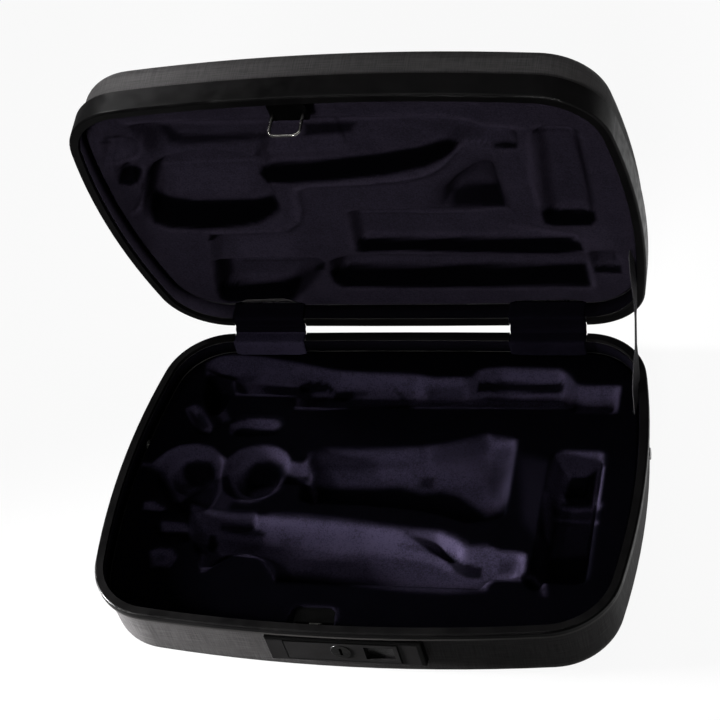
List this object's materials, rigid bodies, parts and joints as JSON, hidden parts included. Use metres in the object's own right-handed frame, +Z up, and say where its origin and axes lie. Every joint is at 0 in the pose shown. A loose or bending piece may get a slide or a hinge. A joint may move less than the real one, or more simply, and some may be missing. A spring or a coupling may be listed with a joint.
{
  "type": "clarinet case",
  "caption": "Hard clarinet case with a hinged lid, plush pocketed linings, slide latch with key lock and a ribbon lid stay, shown open.",
  "frame": {"origin": "centre of the case's flat underside, midway along its length and its depth over the rims", "axes": "+X along the length to the right, -Y towards the front with the lock, +Y towards the hinges, +Z up"},
  "size_m": [0.325, 0.2679, 0.2763],
  "materials": {
    "shell_vinyl": "moulded shell covered in finely woven charcoal vinyl",
    "rim_band": "satin black band with a bright rounded lip",
    "plush": "short dark navy-purple plush",
    "ribbon": "dark woven ribbon",
    "hinge_steel": "plated steel",
    "lock_grey": "smooth dark grey lacquer",
    "lock_black": "black moulded plastic",
    "bright_wire": "bright nickel-plated wire",
    "lock_steel": "plated steel"
  },
  "bodies": {
    "base": {"base_shell": "shell_vinyl", "base_rim": "rim_band", "base_lining": "plush", "hinge_cover_left": "plush", "hinge_cover_right": "plush", "lid_stay_ribbon": "ribbon", "hinge_base_rivets": "hinge_steel", "hinge_left_base_leaf": "hinge_steel", "hinge_right_base_leaf": "hinge_steel", "hinge_left_pin": "hinge_steel", "hinge_right_pin": "hinge_steel", "lock_plate": "lock_grey", "lock_panel": "lock_grey", "lock_housing": "lock_black", "lock_screws": "lock_steel", "strap_stud_left": "bright_wire", "strap_stud_right": "bright_wire", "strap_washers": "lock_steel"},
    "lid": {"lid_shell": "shell_vinyl", "lid_rim": "rim_band", "lid_lining": "plush", "hinge_left_lid_leaf": "hinge_steel", "hinge_right_lid_leaf": "hinge_steel", "hinge_lid_rivets": "hinge_steel", "catch_block": "lock_black", "catch_loop": "bright_wire", "catch_screws": "lock_steel"},
    "slider": {"lock_slider": "lock_grey"},
    "bolt": {"latch_bolt": "lock_steel"},
    "key": {"key_cylinder": "lock_steel", "lock_cam": "lock_steel"}
  },
  "joints": [
    {"name": "lid_hinge", "type": "hinge", "parent": "base", "child": "lid", "pos_m": [0, 0.117, 0.0457], "axis": [-1, 0, 0], "range_deg": [-79, 0], "deforming": ["hinge_cover_left", "hinge_cover_right", "lid_stay_ribbon"]},
    {"name": "latch_slide", "type": "slide", "parent": "base", "child": "slider", "axis": [1, 0, 0], "range_m": [-0.005, 0]},
    {"name": "bolt_slide", "type": "slide", "parent": "base", "child": "bolt", "axis": [0, 1, 0], "range_m": [-0.005, 0]},
    {"name": "key_turn", "type": "hinge", "parent": "base", "child": "key", "pos_m": [0.0018, -0.1155, 0.0292], "axis": [0, 1, 0], "range_deg": [-90, 0]}
  ],
  "couplings": [
    {"joint": "bolt_slide", "follows": "latch_slide", "ratio": 1}
  ]
}
